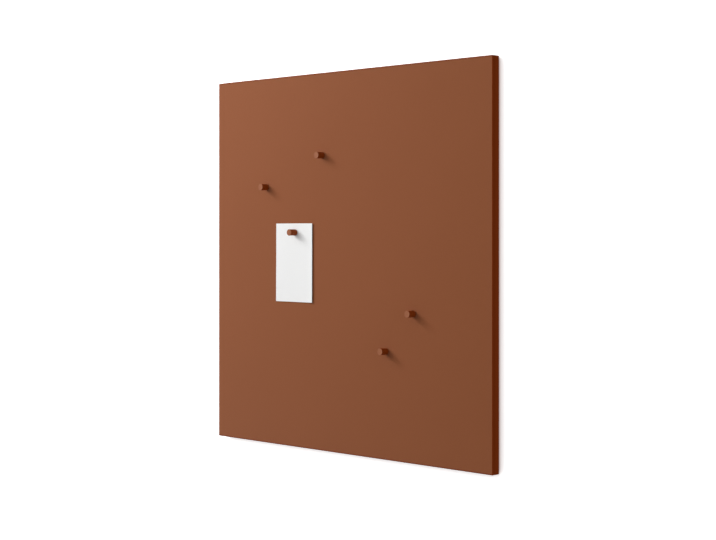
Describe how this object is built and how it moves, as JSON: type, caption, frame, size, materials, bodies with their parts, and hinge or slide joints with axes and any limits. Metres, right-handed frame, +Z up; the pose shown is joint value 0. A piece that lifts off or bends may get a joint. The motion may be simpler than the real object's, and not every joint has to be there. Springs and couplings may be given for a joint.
{
  "type": "pinboard",
  "caption": "Square frameless wall pinboard in one colour, hung on hooked rails hidden in its back, with cylindrical push pins and one pinned card.",
  "frame": {"origin": "middle of the wall rail's back face, where the rail lies flat on the wall", "axes": "+X to the reader's right, +Y into the wall, +Z up; the board's front faces -Y"},
  "size_m": [0.7, 0.0377, 0.7],
  "materials": {
    "linoleum": "matte",
    "panel_paint": "satin",
    "pin_lacquer": "satin",
    "needle_steel": "polished",
    "rail_aluminium": "satin",
    "zinc_steel": "satin",
    "bumper_rubber": "matte",
    "card_stock": "matte"
  },
  "bodies": {
    "wall_mount": {"wall_rail": "rail_aluminium"},
    "board": {"pin_sheet": "linoleum", "backing_panel": "panel_paint", "board_rail": "rail_aluminium", "rail_screw_1": "zinc_steel", "rail_screw_2": "zinc_steel", "rail_screw_3": "zinc_steel", "rail_screw_4": "zinc_steel", "bumper_left": "bumper_rubber", "bumper_right": "bumper_rubber"},
    "pin_1": {"pin_head_1": "pin_lacquer", "pin_needle_1": "needle_steel"},
    "pin_2": {"pin_head_2": "pin_lacquer", "pin_needle_2": "needle_steel"},
    "pin_3": {"pin_head_3": "pin_lacquer", "pin_needle_3": "needle_steel"},
    "pin_4": {"pin_head_4": "pin_lacquer", "pin_needle_4": "needle_steel"},
    "pin_5": {"pin_head_5": "pin_lacquer", "pin_needle_5": "needle_steel"},
    "hanging_card": {"card": "card_stock"}
  },
  "joints": [
    {"name": "board_lift", "type": "slide", "parent": "wall_mount", "child": "board", "axis": [0, 0, 1], "range_m": [0, 0.011]},
    {"name": "pin_1_pull", "type": "slide", "parent": "board", "child": "pin_1", "axis": [0, -1, 0], "range_m": [0, 0.012]},
    {"name": "pin_2_pull", "type": "slide", "parent": "board", "child": "pin_2", "axis": [0, -1, 0], "range_m": [0, 0.012]},
    {"name": "pin_3_pull", "type": "slide", "parent": "board", "child": "pin_3", "axis": [0, -1, 0], "range_m": [0, 0.012]},
    {"name": "pin_4_pull", "type": "slide", "parent": "board", "child": "pin_4", "axis": [0, -1, 0], "range_m": [0, 0.012]},
    {"name": "pin_5_pull", "type": "slide", "parent": "board", "child": "pin_5", "axis": [0, -1, 0], "range_m": [0, 0.012]},
    {"name": "card_swing", "type": "hinge", "parent": "pin_3", "child": "hanging_card", "pos_m": [-0.12705, -0.0202, -0.21195], "axis": [0, -1, 0], "range_deg": [-105.5, 194.5]}
  ]
}
